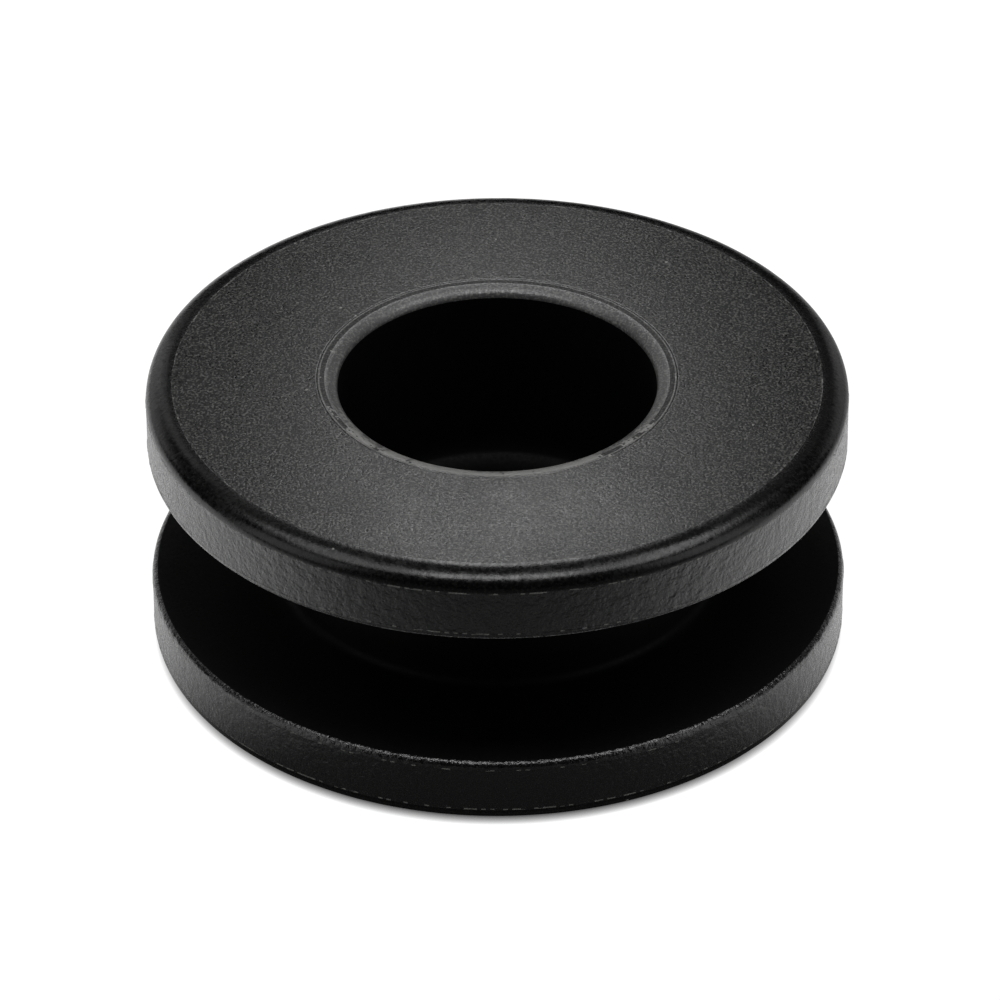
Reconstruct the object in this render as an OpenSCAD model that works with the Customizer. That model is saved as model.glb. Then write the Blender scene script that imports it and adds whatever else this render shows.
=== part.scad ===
// Silent block bushing: a double-flanged rubber grommet, moulded in one piece.
// The part stands on its lower flange, with the origin at the centre of that
// face and +Z up the bore. All sizes are in millimetres.

/* [Flanges] */
// Outer diameter of both flanges
flange_d = 40; // [38:0.5:60]
// Thickness of each flange
flange_t = 4.2; // [3.5:0.1:8]
// Radius of the shoulder's gentle arc, which runs out of the end face
shoulder_r = 1.8; // [1:0.1:3]
// Radius of the shoulder's tight arc, which runs into the rim's wall
rim_r = 0.8; // [0.4:0.05:0.9]
// Round on the rim's other corner, on the groove's side
lip_r = 0.4; // [0.2:0.05:0.8]

/* [Neck] */
// Diameter of the neck, which is the seat in the panel's hole
neck_d = 25; // [24:0.5:28]
// Width of the groove between the flanges, which takes the panel's thickness
groove_w = 8.4; // [4:0.1:16]
// Fillet where the neck runs into each flange
root_r = 0.5; // [0.2:0.05:1]

/* [Bore] */
// Diameter of the bore, from the upper mouth down to the throat
bore_d = 18.2; // [17.6:0.1:19]
// Diameter of the throat, which stops a sleeve that is pushed in from above
throat_d = 15.6; // [14.6:0.1:16.4]
// Height of the throat's straight wall above the lower face
throat_h = 3.4; // [2:0.1:5]
// Radius of the convex round on the throat's upper edge, out to the bore's wall
throat_r = 2.5; // [2.3:0.1:3]

/* [Mouths] */
// Radius of a mouth's gentle arc, which runs out of the end face
lead_r = 1.4; // [0.8:0.1:1.8]
// Radius of a mouth's tight arc, which runs into the wall below it
mouth_r = 0.4; // [0.2:0.05:0.6]

/* [Hidden] */
$fn = 180;

height = 2 * flange_t + groove_w;
rim = flange_d / 2;
neck = neck_d / 2;
bore = bore_d / 2;
throat = throat_d / 2;

// Where a gentle arc hands over to a tight one, both are square to this unit
// vector. Its 3-4-5 slope keeps the point where they touch free of rounding.
handover = [0.6, -0.8];

// Takes off what lies outside a circle, over the turn between two directions
module round_off(centre, radius, from, to) {
    reach = 2 * radius;
    difference() {
        polygon([centre, centre + reach * from, centre + reach * (from + to), centre + reach * to]);
        translate(centre) circle(radius);
    }
}

// Rounds the corner of an end face and a wall, which faces +X and rises from the
// origin: first by a gentle arc out of the face, then by a tight one into the wall
module soften(gentle, tight) {
    step = (gentle - tight) * handover;
    tight_centre = [-tight, gentle + step[1]];
    gentle_centre = tight_centre - step;
    round_off(gentle_centre, gentle, [0, -1], handover);
    round_off(tight_centre, tight, handover, [1, 0]);
}

// Everything that is taken off one flange: its shoulder, its lip and its mouth
module flange_rounds(mouth) {
    translate([rim, 0]) soften(shoulder_r, rim_r);
    round_off([rim - lip_r, flange_t - lip_r], lip_r, [1, 0], [0, 1]);
    translate([mouth, 0]) mirror([1, 0]) soften(lead_r, mouth_r);
}

// What the groove takes out between the flanges, with a fillet along each root
module groove_section() {
    translate([neck + root_r, flange_t]) square([rim - neck, groove_w]);
    translate([neck, flange_t + root_r]) square([rim - neck, groove_w - 2 * root_r]);
    translate([neck + root_r, flange_t + root_r]) circle(root_r);
    translate([neck + root_r, height - flange_t - root_r]) circle(root_r);
}

// What the bore takes out above the throat, down to the throat's round
module bore_section() {
    difference() {
        translate([throat, throat_h]) square([bore - throat, height - throat_h]);
        translate([throat + throat_r, throat_h]) circle(throat_r);
    }
}

module bushing() {
    color([0.10, 0.10, 0.105]) rotate_extrude() difference() {
        translate([throat, 0]) square([rim - throat, height]);
        groove_section();
        bore_section();
        flange_rounds(throat);
        translate([0, height]) mirror([0, 1]) flange_rounds(bore);
    }
}

bushing();
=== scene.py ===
import math

import bmesh
import bpy
from mathutils import Matrix, Vector, noise


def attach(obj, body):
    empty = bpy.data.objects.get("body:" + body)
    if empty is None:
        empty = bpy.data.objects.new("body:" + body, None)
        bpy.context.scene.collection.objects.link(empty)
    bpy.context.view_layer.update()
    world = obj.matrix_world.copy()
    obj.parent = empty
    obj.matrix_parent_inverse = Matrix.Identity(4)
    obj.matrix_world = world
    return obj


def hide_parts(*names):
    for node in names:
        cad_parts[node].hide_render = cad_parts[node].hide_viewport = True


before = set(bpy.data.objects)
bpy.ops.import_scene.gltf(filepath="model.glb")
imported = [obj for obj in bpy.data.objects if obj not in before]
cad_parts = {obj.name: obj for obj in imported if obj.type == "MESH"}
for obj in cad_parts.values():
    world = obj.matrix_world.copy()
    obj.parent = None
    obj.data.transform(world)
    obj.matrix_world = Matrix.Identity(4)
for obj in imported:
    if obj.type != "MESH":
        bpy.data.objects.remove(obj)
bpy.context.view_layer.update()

# The bushing: one body of black rubber, pressed in a steel mould. Two flanges are
# joined by a neck, with a bore through them. The mould's parts meet along both
# corners of each rim and round the upper mouth, and leave a thin flash there.
MM = 0.001
HEIGHT = 16.8
RIM = 20.0
FLANGE = 4.2
NECK = 12.5
BORE = 9.1
THROAT = 7.8
THROAT_WALL = 3.4
THROAT_ROUND = 2.5
SHOULDER_WIDTH = 1.4
SHOULDER_DROP = 1.0
SHOULDER_GENTLE = 1.8
SHOULDER_TIGHT = 0.8
LIP = 0.4
ROOT = 0.5
MOUTH_WIDTH = 1.0
MOUTH_DROP = 0.6
MOUTH_GENTLE = 1.4
MOUTH_TIGHT = 0.4
TURNS = 512

# Each shoulder and mouth is a gentle arc, then a tight one. They hand over at the
# slope of a 3-4-5 triangle.
HANDOVER = math.degrees(math.atan2(0.6, 0.8))

# The flash stands a little proud of the rims, and less so of the upper mouth. Two
# lines are scored in the upper face, beside the shoulder and beside the mouth.
FLASH_WIDTH = 0.12
FLASH_FLAT = 0.02
FLASH_RISE = 0.03
MOUTH_RISE = 0.012
SCORE_DEPTH = 0.010
MOUTH_SCORE_DEPTH = 0.015
SCORE_GAP = 0.08
FLASH_CREST = 1
SCORE_CREST = 2


class Wire:
    """The half-section's outline, drawn from its tip in the XZ plane."""

    def __init__(self, radius, height):
        self.bm = bmesh.new()
        self.crest = self.bm.verts.layers.float.new("crest")
        start = bmesh.ops.create_vert(self.bm, co=(radius * MM, 0, height * MM))
        self.tip = start["vert"][0]

    def line(self, radius, height, cuts=0):
        """Runs straight to a radius and height, in equal steps."""
        step = (Vector((radius * MM, 0, height * MM)) - self.tip.co) / (cuts + 1)
        for _ in range(cuts + 1):
            made = bmesh.ops.extrude_vert_indiv(self.bm, verts=[self.tip])
            self.tip = made["verts"][0]
            self.tip.co += step
            self.tip[self.crest] = 0

    def arc(self, radius, height, sweep, steps):
        """Swings round a centre by an angle, positive from +X towards +Z."""
        made = bmesh.ops.spin(
            self.bm, geom=[self.tip], cent=(radius * MM, 0, height * MM),
            axis=(0, -1, 0), dvec=(0, 0, 0), angle=math.radians(sweep), steps=steps)
        self.tip = [g for g in made["geom_last"] if isinstance(g, bmesh.types.BMVert)][0]
        self.tip[self.crest] = 0

    def flash(self, along_radius, along_height, rise=FLASH_RISE, mark=FLASH_CREST):
        """Lays a flash, or a score if it sinks, across the outline in a unit direction."""
        foot = self.tip.co / MM
        way = Vector((along_radius, 0, along_height))
        # A narrow flat on each side keeps the shading of the flash to the flash
        for far in (FLASH_FLAT, FLASH_WIDTH / 2, FLASH_WIDTH - FLASH_FLAT, FLASH_WIDTH):
            at = foot + way * far
            if far == FLASH_WIDTH / 2:
                at += Vector((along_height, 0, -along_radius)) * rise
            self.line(at.x, at.z)
            self.tip[self.crest] = mark if far == FLASH_WIDTH / 2 else 0


wire = Wire(THROAT, MOUTH_DROP)
wire.arc(THROAT + MOUTH_TIGHT, MOUTH_DROP, 90 - HANDOVER, 5)
wire.arc(THROAT + MOUTH_WIDTH, MOUTH_GENTLE, HANDOVER, 6)
wire.line(RIM - SHOULDER_WIDTH, 0, 6)
wire.arc(RIM - SHOULDER_WIDTH, SHOULDER_GENTLE, HANDOVER, 8)
wire.arc(RIM - SHOULDER_TIGHT, SHOULDER_DROP, 90 - HANDOVER, 7)
wire.flash(0, 1)
wire.line(RIM, FLANGE - LIP - FLASH_WIDTH, 8)
wire.flash(0, 1)
wire.arc(RIM - LIP, FLANGE - LIP, 90, 6)
wire.line(NECK + ROOT, FLANGE, 8)
wire.arc(NECK + ROOT, FLANGE + ROOT, -90, 4)
wire.line(NECK, HEIGHT - FLANGE - ROOT, 6)
wire.arc(NECK + ROOT, HEIGHT - FLANGE - ROOT, -90, 4)
wire.line(RIM - LIP, HEIGHT - FLANGE, 8)
wire.arc(RIM - LIP, HEIGHT - FLANGE + LIP, 90, 6)
wire.flash(0, 1)
wire.line(RIM, HEIGHT - SHOULDER_DROP - FLASH_WIDTH, 8)
wire.flash(0, 1)
wire.arc(RIM - SHOULDER_TIGHT, HEIGHT - SHOULDER_DROP, 90 - HANDOVER, 8)
wire.arc(RIM - SHOULDER_WIDTH, HEIGHT - SHOULDER_GENTLE, HANDOVER, 12)
wire.line(RIM - SHOULDER_WIDTH - SCORE_GAP, HEIGHT, 1)
wire.flash(-1, 0, -SCORE_DEPTH, SCORE_CREST)
wire.line(BORE + MOUTH_WIDTH + 2 * FLASH_WIDTH, HEIGHT, 8)
wire.flash(-1, 0, -MOUTH_SCORE_DEPTH, SCORE_CREST)
wire.flash(-1, 0, MOUTH_RISE)
wire.arc(BORE + MOUTH_WIDTH, HEIGHT - MOUTH_GENTLE, HANDOVER, 10)
wire.arc(BORE + MOUTH_TIGHT, HEIGHT - MOUTH_DROP, 90 - HANDOVER, 7)
throat_angle = math.degrees(math.acos((THROAT + THROAT_ROUND - BORE) / THROAT_ROUND))
crease = THROAT_WALL + THROAT_ROUND * math.sin(math.radians(throat_angle))
wire.line(BORE, crease, 8)
wire.arc(THROAT + THROAT_ROUND, THROAT_WALL, throat_angle, 9)
wire.line(THROAT, MOUTH_DROP, 2)

# A sixteenth of the turn is spun, and the rest is copied from it by doubling
bm = wire.bm
bmesh.ops.remove_doubles(bm, verts=bm.verts, dist=1e-7)
bmesh.ops.spin(bm, geom=bm.verts[:] + bm.edges[:], cent=(0, 0, 0), axis=(0, 0, 1),
               dvec=(0, 0, 0), angle=math.tau / 16, steps=TURNS // 16)
for share in (1, 2, 4, 8):
    copied = bmesh.ops.duplicate(bm, geom=bm.verts[:] + bm.edges[:] + bm.faces[:])["geom"]
    bmesh.ops.rotate(bm, cent=(0, 0, 0), matrix=Matrix.Rotation(math.tau * share / 16, 3, "Z"),
                     verts=[g for g in copied if isinstance(g, bmesh.types.BMVert)])
bmesh.ops.remove_doubles(bm, verts=bm.verts, dist=1e-7)
bmesh.ops.recalc_face_normals(bm, faces=bm.faces)
crest = bm.verts.layers.float["crest"]

# The flash tears off in places, so its crest rises and falls, and the scored lines
# waver. The rounds of the flanges are a little uneven, as cut by hand in the mould.
# Of the flash and the scored lines, those within FACE_MIDDLE are the mouth's.
FACE_MIDDLE = 15
SCORE_WAVER = 0.010
UNEVEN_WIDTH = 1.8
for vert in bm.verts:
    place = vert.co / MM
    reach = math.hypot(place.x, place.y)
    if vert[crest] == SCORE_CREST:
        vert.co.z += SCORE_WAVER * MM * (noise.noise(place * 0.8) + noise.noise(place * 2.9))
    elif vert[crest] == FLASH_CREST:
        left = 0.55 + 0.9 * noise.noise(place * 0.9) + 0.5 * noise.noise(place * 3.1)
        out = Vector((vert.co.x, vert.co.y, 0)).normalized()
        way = out * FLASH_RISE if reach > FACE_MIDDLE else Vector((0, 0, MOUTH_RISE))
        vert.co -= way * MM * (1 - min(max(left, 0.0), 1.0))
    elif reach > RIM - UNEVEN_WIDTH and abs(place.z - HEIGHT / 2) > HEIGHT / 2 - SHOULDER_DROP:
        push = noise.noise(place * 0.35) * 0.012 + noise.noise(place * 1.1) * 0.005
        vert.co.z -= math.copysign(push, place.z - HEIGHT / 2) * MM

mesh = bpy.data.meshes.new("bushing_rubber")
bm.to_mesh(mesh)
bm.free()
mesh.shade_smooth()
bushing = bpy.data.objects.new("bushing_rubber", mesh)
bpy.context.scene.collection.objects.link(bushing)


def linear(hex_colour):
    """Turns an sRGB hex colour into the linear one that a shader takes."""
    parts = [int(hex_colour[i:i + 2], 16) / 255 for i in (1, 3, 5)]
    return tuple(c / 12.92 if c <= 0.04045 else ((c + 0.055) / 1.055) ** 2.4 for c in parts) + (1,)


def add(material, kind, settings=None, links=None):
    """Adds a node, with its settings, and its inputs as values or as links."""
    made = material.node_tree.nodes.new("ShaderNode" + kind)
    for name, value in (settings or {}).items():
        setattr(made, name, value)
    for name, value in (links or {}).items():
        if isinstance(value, bpy.types.NodeSocket):
            material.node_tree.links.new(value, made.inputs[name])
        else:
            made.inputs[name].default_value = value
    return made


# Sizes in millimetres. An etched mould's grain is about 0.1 mm, too fine to show, so
# the grain and its flecks are drawn a little coarser, at 0.13 to 0.24 mm.
FLECK_SIZE = 0.13
MOTTLE_SIZE = 0.6
DUST_SPACING = 0.9
DUST_RADIUS = 0.099
DUST_COLOUR = "#8c8c88"
CLOUD_SIZE = 4.0

# The most that the clouds and the grain add to the roughness, or take from it
CLOUD_CHANGE = 0.035
GRAIN_CHANGE = 0.08


def rubber(name, colour, specular, roughness, grain_size, grain_depth,
           pale=0.0, sheen=0.0, mottle=0.0):
    """Makes one finish of the rubber, and gives its number in the mesh's list.

    Grain and mottle are in millimetres, and pale is how pale the flecks are.
    """
    made = bpy.data.materials.new(name)
    made.use_nodes = True
    made.node_tree.nodes.clear()
    place = add(made, "TexCoord").outputs["Object"]
    # Gloss: broad clouds of it from handling, and a finer change from grain to grain
    grain = add(made, "TexNoise", {}, {
        "Vector": place, "Scale": 1 / (grain_size * MM), "Detail": 2.0, "Roughness": 0.6})
    cloud = add(made, "TexNoise", {}, {
        "Vector": place, "Scale": 1 / (CLOUD_SIZE * MM), "Detail": 3.0, "Roughness": 0.6})
    broad = add(made, "MapRange", {}, {
        "Value": cloud.outputs["Fac"], "From Min": 0.3, "From Max": 0.7,
        "To Min": roughness - CLOUD_CHANGE, "To Max": roughness + CLOUD_CHANGE})
    fine = add(made, "MapRange", {}, {
        "Value": grain.outputs["Fac"], "From Min": 0.3, "From Max": 0.7,
        "To Min": -GRAIN_CHANGE, "To Max": GRAIN_CHANGE})
    rough = add(made, "Math", {"operation": "ADD"}, {
        0: broad.outputs["Result"], 1: fine.outputs["Result"]})
    # Dust: specks up to a fifth of a millimetre across, in a few of the cells of a net
    net = add(made, "TexVoronoi", {}, {"Vector": place, "Scale": 1 / (DUST_SPACING * MM)})
    lot = add(made, "SeparateColor", {}, {"Color": net.outputs["Color"]})
    size = add(made, "MapRange", {}, {
        "Value": lot.outputs[0], "From Min": 0.86, "From Max": 1.0, "To Min": 0.0,
        "To Max": DUST_RADIUS / DUST_SPACING if pale else 0.0})
    speck = add(made, "Math", {"operation": "LESS_THAN"}, {
        0: net.outputs["Distance"], 1: size.outputs["Result"]})
    # Flecks: the tips of the grain, rubbed pale
    tips = add(made, "TexNoise", {}, {
        "Vector": place, "Scale": 1 / (FLECK_SIZE * MM), "Detail": 0.0})
    fleck = add(made, "MapRange", {}, {
        "Value": tips.outputs["Fac"], "From Min": 0.52, "From Max": 0.66,
        "To Min": 0.0, "To Max": pale})
    dusty = add(made, "Math", {"operation": "MAXIMUM"}, {
        0: speck.outputs[0], 1: fleck.outputs["Result"]})
    body = add(made, "Mix", {"data_type": "RGBA"}, {
        "Factor": dusty.outputs[0], 6: linear(colour), 7: linear(DUST_COLOUR)})
    # Relief: the grain, on a coarser mottle
    coarse = add(made, "TexNoise", {}, {
        "Vector": place, "Scale": 1 / (MOTTLE_SIZE * MM), "Detail": 3.0, "Roughness": 0.6})
    height = add(made, "Math", {"operation": "MULTIPLY_ADD"}, {
        0: coarse.outputs["Fac"], 1: mottle / grain_depth, 2: grain.outputs["Fac"]})
    bump = add(made, "Bump", {}, {
        "Height": height.outputs[0], "Strength": 1.0, "Distance": grain_depth * MM})
    shader = add(made, "BsdfPrincipled", {}, {
        "Base Color": body.outputs[2], "Roughness": rough.outputs[0], "IOR": 1.5,
        "Specular IOR Level": specular, "Sheen Weight": sheen, "Sheen Roughness": 0.3,
        "Normal": bump.outputs["Normal"]})
    add(made, "OutputMaterial", {}, {"Surface": shader.outputs["BSDF"]})
    mesh.materials.append(made)
    return len(mesh.materials) - 1


# Natural rubber, moulded against etched steel: near black, with a fine pale grain
# that scatters the light into a soft dark grey
moulded_matt = rubber(
    "rubber_moulded_matt", "#060606", specular=0.5, roughness=0.33,
    grain_size=0.17, grain_depth=0.022, pale=0.34)
# Moulded against the turned, smoother rounds of the tool: deep black between two
# narrow bands of gloss
moulded_smooth = rubber(
    "rubber_moulded_smooth", "#040404", specular=0.5, roughness=0.26,
    grain_size=0.24, grain_depth=0.012, pale=0.02)
# The rims, rubbed by handling: mottled and glossy, and pale where seen at a slant
rim_worn = rubber(
    "rubber_rim_worn", "#040404", specular=1.0, roughness=0.27,
    grain_size=0.20, grain_depth=0.040, sheen=1.0, mottle=0.10)
# The mouth, rubbed by what goes in and out of it: a satin grey ring
mouth_rubbed = rubber(
    "rubber_mouth_rubbed", "#4c4c4c", specular=1.0, roughness=0.38,
    grain_size=0.20, grain_depth=0.03, pale=0.45)
# Flash that has torn: dry, ragged and pale
flash_torn = rubber(
    "rubber_flash_torn", "#6c6c6a", specular=0.5, roughness=0.50,
    grain_size=0.17, grain_depth=0.008, pale=0.6)
# The groove, bore and throat, pressed against plain cores and never touched: dull, with
# their gloss turned low as painted shade in these hollows, so dark that their form hardly
# reads
groove_shaded = rubber(
    "rubber_groove_dull", "#040404", specular=0.15, roughness=0.6,
    grain_size=0.18, grain_depth=0.008)
# The front of the mouth, worn through its skin: light grey patches, partly a painted
# highlight where the round tilts back towards the lamps
mouth_worn_highlit = rubber(
    "rubber_mouth_worn", "#848482", specular=0.5, roughness=0.42,
    grain_size=0.18, grain_depth=0.02, pale=0.6)
# The first of the mouth's round: a dull line, its colour darker than the ring's as painted
# shade for the dark band that the round reflects
mouth_dull_shaded = rubber(
    "rubber_mouth_dull", "#202020", specular=0.3, roughness=0.5,
    grain_size=0.18, grain_depth=0.012, pale=0.2)


def torn(centre, bar):
    """Says whether a line has torn at a place. The lower the bar, the more of it has."""
    return 0.5 * noise.noise(centre * 1.1) + 0.9 * noise.noise(centre * 7) > bar


# Where each finish starts and ends. The mouth has worn through in patches, and more so
# towards the front, where the pale patches are partly a painted highlight. The line scored
# beside it is smooth.
SLACK = 0.01
SMOOTH_FROM = RIM - SHOULDER_WIDTH - SCORE_GAP
MOUTH_EDGE = BORE + MOUTH_WIDTH
MOUTH_SCORE_FROM = MOUTH_EDGE + FLASH_WIDTH
MOUTH_SCORE_TO = MOUTH_SCORE_FROM + FLASH_WIDTH
RUBBED_TO = BORE + 0.7
WORN_HIGHLIT_FROM = BORE + 0.2
WEAR_AND_HIGHLIGHT_BAR = 0.34
BORE_TO = BORE + 0.02
BORE_TOP = HEIGHT - MOUTH_DROP - 0.05
for face in mesh.polygons:
    centre = face.center / MM
    reach = math.hypot(centre.x, centre.y)
    lower_wall = SHOULDER_DROP < centre.z < FLANGE
    upper_wall = HEIGHT - FLANGE < centre.z < HEIGHT - SHOULDER_DROP
    upper_face = centre.z > HEIGHT - 0.1
    if reach > RIM - LIP and (lower_wall or upper_wall):
        face.material_index = rim_worn
    elif reach > SMOOTH_FROM:
        face.material_index = moulded_smooth
    elif reach < MOUTH_EDGE and centre.z > HEIGHT - MOUTH_DROP:
        # Patches of wear, leaning to the front as a painted highlight
        wear_and_highlight = (noise.noise(centre * 0.7) * 0.4 + noise.noise(centre * 5) * 0.3
                - centre.y * 0.06 - centre.x * 0.012)
        if wear_and_highlight > WEAR_AND_HIGHLIGHT_BAR and reach > WORN_HIGHLIT_FROM:
            face.material_index = mouth_worn_highlit
        else:
            # Inside RUBBED_TO lies the ring, and beyond it the line in painted shade
            face.material_index = mouth_rubbed if reach < RUBBED_TO else mouth_dull_shaded
    elif MOUTH_SCORE_FROM < reach < MOUTH_SCORE_TO and upper_face:
        face.material_index = moulded_smooth
    # The bore, the throat and the groove take the finish with painted shade
    in_bore = reach < BORE_TO and centre.z < BORE_TOP
    between = FLANGE - SLACK < centre.z < HEIGHT - FLANGE + SLACK
    if in_bore or (between and reach > BORE + 0.5):
        face.material_index = groove_shaded

# The scored line has torn only beside the shoulder. The flash has torn less on the
# groove's side of the rims, and round the mouth it has torn most at the front, where its
# pale tears are partly a painted highlight.
GROOVE_SIDE = 6
GROOVE_SIDE_BAR = 0.3
OUTER_BAR = 0.1
MOUTH_BAR = 0.15
SCORE_BAR = 0.3
crests = mesh.attributes["crest"].data
for face in mesh.polygons:
    marks = {crests[i].value for i in face.vertices}
    centre = face.center / MM
    by_mouth = math.hypot(centre.x, centre.y) < FACE_MIDDLE
    if SCORE_CREST in marks and not by_mouth and torn(centre, SCORE_BAR):
        face.material_index = flash_torn
    if FLASH_CREST in marks:
        bar = GROOVE_SIDE_BAR if abs(centre.z - HEIGHT / 2) < GROOVE_SIDE else OUTER_BAR
        if by_mouth:
            face.material_index = mouth_rubbed
            # Towards the front more of the mouth's flash tears pale, partly a painted highlight
            bar = MOUTH_BAR + 0.02 * centre.y
        if torn(centre, bar):
            face.material_index = flash_torn
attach(bushing, "root")
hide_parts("bushing")

# The floor: a round sheet of matt white paper, laid flat. It shows as plain white. Gloss
# sees it in painted shade, dark under the part and before it, and brighter at the sides
# and behind.
SHEET_RADIUS = 600
bm = bmesh.new()
bmesh.ops.create_circle(bm, cap_ends=True, segments=96, radius=SHEET_RADIUS * MM)
floor_mesh = bpy.data.meshes.new("floor")
bm.to_mesh(floor_mesh)
bm.free()
floor = bpy.data.objects.new("floor", floor_mesh)
bpy.context.scene.collection.objects.link(floor)
sheet = bpy.data.materials.new("paper_white_matt")
sheet.use_nodes = True
sheet.node_tree.nodes.clear()
point = add(sheet, "TexCoord").outputs["Object"]
across = add(sheet, "SeparateXYZ", {}, {"Vector": point})

# The sheet is bare from where the lower flange's round lifts off it. Under the part,
# gloss sees it in painted shade.
BARE_FROM = 18.6
BARE_TO = 19.4
under = add(sheet, "VectorMath", {"operation": "LENGTH"}, {0: point})
bare = add(sheet, "MapRange", {}, {
    "Value": under.outputs["Value"], "From Min": BARE_FROM * MM, "From Max": BARE_TO * MM})

# A round painted shadow lies before the part, seen in gloss
SHADOW_MIDDLE = -14
SHADOW_FROM = 14
SHADOW_TO = 28.5
SHADOW_TONE = 0.02
before = add(sheet, "VectorMath", {"operation": "DISTANCE"}, {
    0: point, 1: (0, SHADOW_MIDDLE * MM, 0)})
clear = add(sheet, "MapRange", {"interpolation_type": "SMOOTHSTEP"}, {
    "Value": before.outputs["Value"], "From Min": SHADOW_FROM * MM, "From Max": SHADOW_TO * MM,
    "To Min": SHADOW_TONE})

# In gloss, painted shade darkens the sheet towards the front
FRONT_FROM = -48
FRONT_TO = -4
FRONT_TONE = 0.03
lit = add(sheet, "MapRange", {"interpolation_type": "SMOOTHSTEP"}, {
    "Value": across.outputs["Y"], "From Min": FRONT_FROM * MM, "From Max": FRONT_TO * MM,
    "To Min": FRONT_TONE})

# Painted shade darkens it less far behind, where its left is brighter than its right
BACK_FROM = 12
BACK_TO = 32
BACK_BLEND = 8
BACK_LEFT_TONE = 0.75
BACK_RIGHT_TONE = 0.4
side = add(sheet, "MapRange", {}, {
    "Value": across.outputs["X"], "From Min": -BACK_BLEND * MM, "From Max": BACK_BLEND * MM,
    "To Min": BACK_LEFT_TONE, "To Max": BACK_RIGHT_TONE})
far = add(sheet, "MapRange", {"interpolation_type": "SMOOTHSTEP"}, {
    "Value": across.outputs["Y"], "From Min": BACK_FROM * MM, "From Max": BACK_TO * MM,
    "To Min": 1.0, "To Max": side.outputs["Result"]})
path = add(sheet, "LightPath")
tone = clear.outputs["Result"]
for shade in (lit, far, bare):
    tone = add(sheet, "Math", {"operation": "MULTIPLY"}, {
        0: tone, 1: shade.outputs["Result"]}).outputs[0]
tone = add(sheet, "Math", {"operation": "MAXIMUM"}, {
    0: tone, 1: path.outputs["Is Camera Ray"]}).outputs[0]

# The white glows by itself, so that it is even, and a tenth of it stays lit paper, which
# keeps the part's shadow. In view, the sheet under the part is lit by the lamps alone,
# down the bore.
GLOW_SHARE = 0.9
GLOW_STRENGTH = 1.12
seen = path.outputs["Is Camera Ray"]
for ray in ("Is Glossy Ray", "Is Transmission Ray"):
    seen = add(sheet, "Math", {"operation": "MAXIMUM"}, {
        0: seen, 1: path.outputs[ray]}).outputs[0]
open_sheet = add(sheet, "Math", {"operation": "MAXIMUM"}, {
    0: bare.outputs["Result"], 1: path.outputs["Is Glossy Ray"]})
share = add(sheet, "Math", {"operation": "MULTIPLY"}, {0: seen, 1: GLOW_SHARE})
share = add(sheet, "Math", {"operation": "MULTIPLY"}, {
    0: share.outputs[0], 1: open_sheet.outputs[0]})

# A painted contact shadow: occlusion darkens the glow in a thin line where the part
# stands on the sheet
CONTACT_SHADOW = 0.5
contact_shadow = add(sheet, "AmbientOcclusion", {}, {
    "Color": linear("#ffffff"), "Distance": CONTACT_SHADOW * MM})
white = add(sheet, "VectorMath", {"operation": "SCALE"}, {
    0: contact_shadow.outputs["Color"], "Scale": tone})
glow = add(sheet, "Emission", {}, {
    "Color": white.outputs["Vector"], "Strength": GLOW_STRENGTH})
matt = add(sheet, "BsdfDiffuse", {}, {"Color": linear("#e8e8e6")})
both = add(sheet, "MixShader", {}, {
    "Fac": share.outputs[0], 1: matt.outputs[0], 2: glow.outputs[0]})
add(sheet, "OutputMaterial", {}, {"Surface": both.outputs[0]})
floor_mesh.materials.append(sheet)

# The light: rectangular softboxes over a dim grey world, each turned to the middle of
# the upper face. Broad ones hang overhead, a small strong one close behind, and weak
# ones low behind the part and at its sides.
world = bpy.data.worlds.new("studio")
bpy.context.scene.world = world
world.use_nodes = True
dim = world.node_tree.nodes["Background"].inputs
dim["Color"].default_value = linear("#ffffff")
dim["Strength"].default_value = 0.01
TARGET = Vector((0, 0, HEIGHT * MM))


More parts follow.
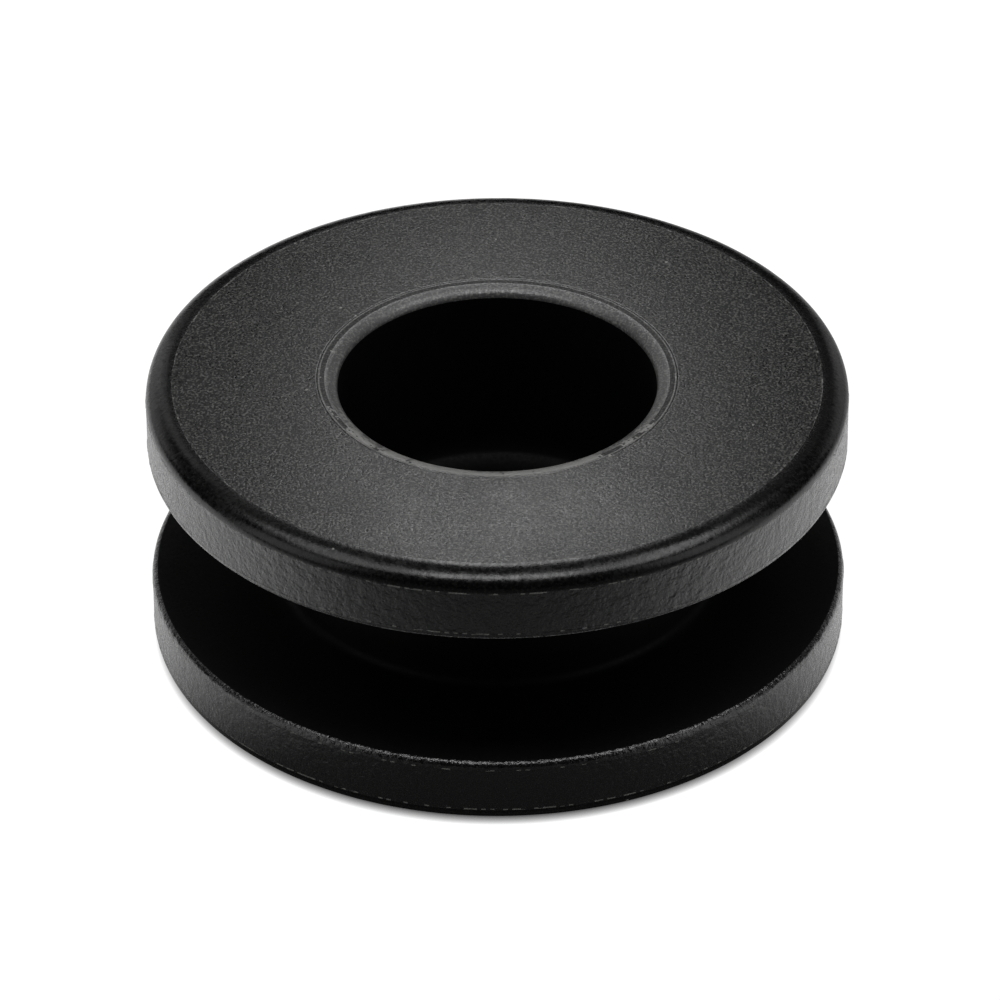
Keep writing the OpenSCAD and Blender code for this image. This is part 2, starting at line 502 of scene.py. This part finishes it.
def softbox(name, place, width, tall, radiance):
    """Hangs a softbox at a place from the target, in metres, and turns it to the target."""
    data = bpy.data.lights.new(name, "AREA")
    data.shape = "RECTANGLE"
    data.size = width
    data.size_y = tall
    data.energy = radiance * math.pi * width * tall
    lamp = bpy.data.objects.new(name, data)
    way = Vector(place)
    lamp.location = TARGET + way
    lamp.rotation_euler = way.to_track_quat("Z", "Y").to_euler()
    lamp.visible_camera = False
    bpy.context.scene.collection.objects.link(lamp)


def polar(elevation, azimuth, distance):
    """Gives a place by its angles in degrees, with azimuth from the back to the right."""
    tilt = math.radians(elevation)
    turn = math.radians(azimuth)
    level = math.cos(tilt) * distance
    return math.sin(turn) * level, math.cos(turn) * level, math.sin(tilt) * distance


softbox("overhead", (0, -0.07, 0.4), 0.20, 0.10, 5.8)
softbox("overhead_left", (-0.2, 0.012, 0.4), 0.25, 0.13, 2.0)
softbox("overhead_right", (0.2, 0.012, 0.4), 0.25, 0.13, 3.0)
softbox("back", polar(44, 0, 0.0855), 0.019, 0.039, 3.8)
softbox("back_wide", polar(45, 0, 0.45), 0.40, 0.30, 0.08)
softbox("back_left", polar(30, -25, 0.3), 0.08, 0.12, 0.4)
softbox("low_left", polar(13, -40, 0.5), 0.31, 0.21, 0.55)
softbox("low_right", polar(13, 40, 0.5), 0.31, 0.21, 0.4)
softbox("side_left", polar(21, -112, 0.5), 0.31, 0.40, 0.7)
softbox("side_right", polar(21, 112, 0.5), 0.31, 0.40, 0.8)

# The camera: a long lens, looking down at the upper face from the front. TILT is its
# angle below level and DISTANCE runs from the target, in metres. RISE, SIDE and ROLL
# place the part in the picture.
TILT = math.radians(34.52)
DISTANCE = 0.3755
RISE = -0.00706
SIDE = 0.00013
ROLL = -0.0043
SENSOR = 36
FOCAL = 6.605
ahead = Vector((0, math.cos(TILT), -math.sin(TILT)))
up = Vector((0, math.sin(TILT), math.cos(TILT)))
right = Vector((1, 0, 0))
data = bpy.data.cameras.new("camera")
data.sensor_width = SENSOR
data.lens = SENSOR * FOCAL
data.clip_start = 0.01
camera = bpy.data.objects.new("camera", data)
place = TARGET - ahead * DISTANCE + up * RISE + right * SIDE
turn = Matrix((right, up, -ahead)).transposed() @ Matrix.Rotation(ROLL, 3, "Z")
camera.matrix_world = Matrix.Translation(place) @ turn.to_4x4()
bpy.context.scene.collection.objects.link(camera)
bpy.context.scene.camera = camera

bpy.context.scene.view_settings.view_transform = "Standard"
